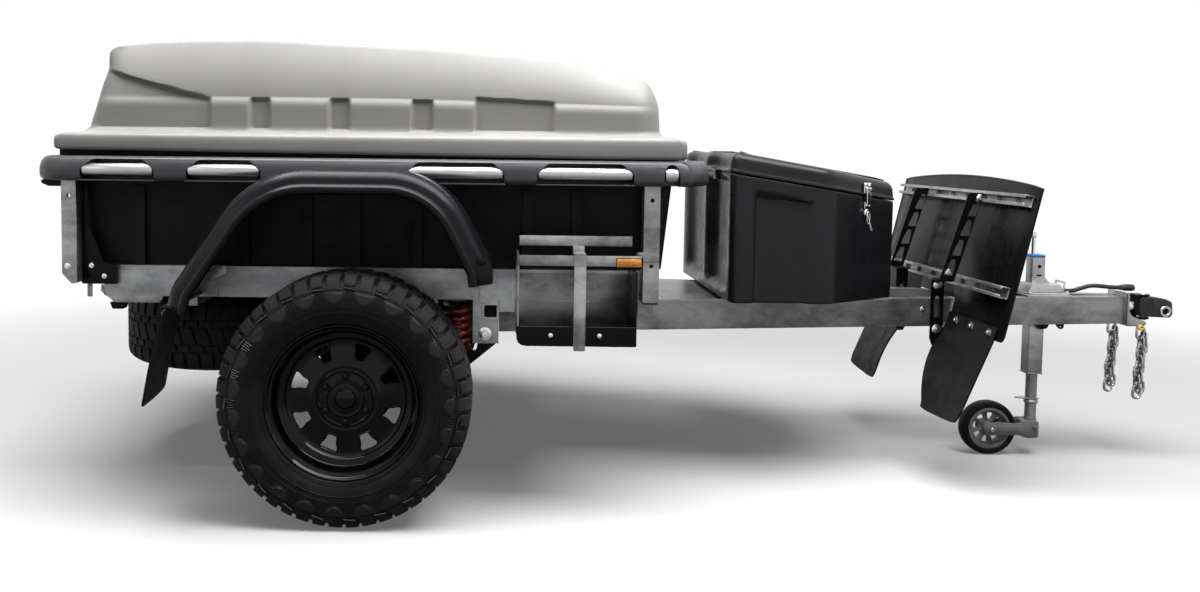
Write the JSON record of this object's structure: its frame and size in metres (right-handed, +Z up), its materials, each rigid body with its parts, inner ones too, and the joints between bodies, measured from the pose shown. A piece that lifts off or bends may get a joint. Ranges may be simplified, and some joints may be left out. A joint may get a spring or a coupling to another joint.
{
  "type": "off-road box trailer",
  "caption": "Single-axle off-road camping trailer: hollow moulded tub under a hinged lid, front toolbox, stone guard, A-frame drawbar with swivelling block coupling and jockey wheel.",
  "frame": {"origin": "on the ground under the middle of the trailer's bounding box", "axes": "+X towards the coupling, +Y to the trailer's left side, +Z up"},
  "size_m": [4, 1.818, 1.4973],
  "materials": {
    "galvanised": "galvanised steel, spangled, semi-matt",
    "tyre": "matt mud terrain rubber",
    "wheel_black": "gloss black paint",
    "black_poly": "black moulded polyethylene, fine grain",
    "rim_poly": "charcoal moulded polyethylene, satin",
    "lid_poly": "warm grey moulded polyethylene, fine texture",
    "grab_alloy": "bright anodised tube",
    "box_poly": "charcoal moulded polyethylene",
    "guard_black": "satin black powder coat",
    "flap_rubber": "matt rubber sheet",
    "spring_red": "red powder coat",
    "chrome": "bright plated",
    "jockey_grey": "grey moulded nylon",
    "coupling_poly": "black cast polymer",
    "cable_black": "black jacket",
    "lens": "clear amber and red lens plastic"
  },
  "bodies": {
    "chassis": {"cable_gland": "cable_black", "can_carrier_left": "galvanised", "can_carrier_right": "galvanised", "coupling_plate": "galvanised", "cross_beams": "galvanised", "drawbar_arm_left": "galvanised", "drawbar_arm_right": "galvanised", "drawbar_deck": "galvanised", "front_post_left": "galvanised", "front_post_right": "galvanised", "grab_tubes": "grab_alloy", "guard_channels": "galvanised", "guard_flap_left": "flap_rubber", "guard_flap_right": "flap_rubber", "guard_plate": "guard_black", "guard_strut_left": "guard_black", "guard_strut_right": "guard_black", "jockey_post": "galvanised", "lamps": "lens", "lid_hinges": "chrome", "mudflap_left": "flap_rubber", "mudflap_right": "flap_rubber", "mudguard_left": "black_poly", "mudguard_right": "black_poly", "rear_post_left": "galvanised", "rear_post_right": "galvanised", "rim_front": "rim_poly", "rim_rear": "rim_poly", "rim_side_left": "rim_poly", "rim_side_right": "rim_poly", "safety_chains": "galvanised", "side_rail_left": "galvanised", "side_rail_right": "galvanised", "spare_carrier": "galvanised", "spare_tyre": "tyre", "spare_wheel": "wheel_black", "spring_left": "spring_red", "spring_right": "spring_red", "suspension_mount": "galvanised", "toolbox_body": "box_poly", "trailer_cable": "cable_black", "trailer_plug": "cable_black", "trailing_arm_left": "guard_black", "trailing_arm_right": "guard_black", "tub": "black_poly"},
    "wheel_right": {"tyre_right": "tyre", "wheel_right": "wheel_black"},
    "wheel_left": {"tyre_left": "tyre", "wheel_left": "wheel_black"},
    "lid": {"lid": "lid_poly"},
    "toolbox_lid": {"toolbox_lid": "box_poly", "toolbox_latch": "chrome"},
    "jockey_tube": {"jockey_tube": "galvanised"},
    "jockey_fork": {"jockey_fork": "galvanised"},
    "jockey_wheel": {"jockey_tyre": "tyre", "jockey_rim": "jockey_grey"},
    "coupling_yoke": {"coupling_yoke": "chrome"},
    "coupling_block": {"coupling_block": "coupling_poly"}
  },
  "joints": [
    {"name": "wheel_right_roll", "type": "hinge", "parent": "chassis", "child": "wheel_right", "pos_m": [-0.989, -0.7765, 0.382], "axis": [0, 1, 0], "continuous": true},
    {"name": "wheel_left_roll", "type": "hinge", "parent": "chassis", "child": "wheel_left", "pos_m": [-0.989, 0.7765, 0.382], "axis": [0, 1, 0], "continuous": true},
    {"name": "lid_hinge", "type": "hinge", "parent": "chassis", "child": "lid", "pos_m": [0.074, 0, 1.113], "axis": [0, 1, 0], "range_deg": [0, 55]},
    {"name": "toolbox_lid_hinge", "type": "hinge", "parent": "chassis", "child": "toolbox_lid", "pos_m": [0.2395, 0, 1.067], "axis": [0, -1, 0], "range_deg": [0, 75]},
    {"name": "jockey_height", "type": "slide", "parent": "chassis", "child": "jockey_tube", "axis": [0, 0, 1], "range_m": [0, 0.09]},
    {"name": "jockey_swivel", "type": "hinge", "parent": "jockey_tube", "child": "jockey_fork", "pos_m": [1.5, 0, 0.21], "axis": [0, 0, 1], "continuous": true},
    {"name": "jockey_wheel_roll", "type": "hinge", "parent": "jockey_fork", "child": "jockey_wheel", "pos_m": [1.338, 0, 0.102], "axis": [0, 1, 0], "continuous": true},
    {"name": "coupling_roll", "type": "hinge", "parent": "chassis", "child": "coupling_yoke", "pos_m": [1.84, 0, 0.571], "axis": [1, 0, 0], "continuous": true},
    {"name": "coupling_yaw", "type": "hinge", "parent": "coupling_yoke", "child": "coupling_block", "pos_m": [1.907, 0, 0.571], "axis": [0, 0, 1], "range_deg": [-35, 35]}
  ]
}
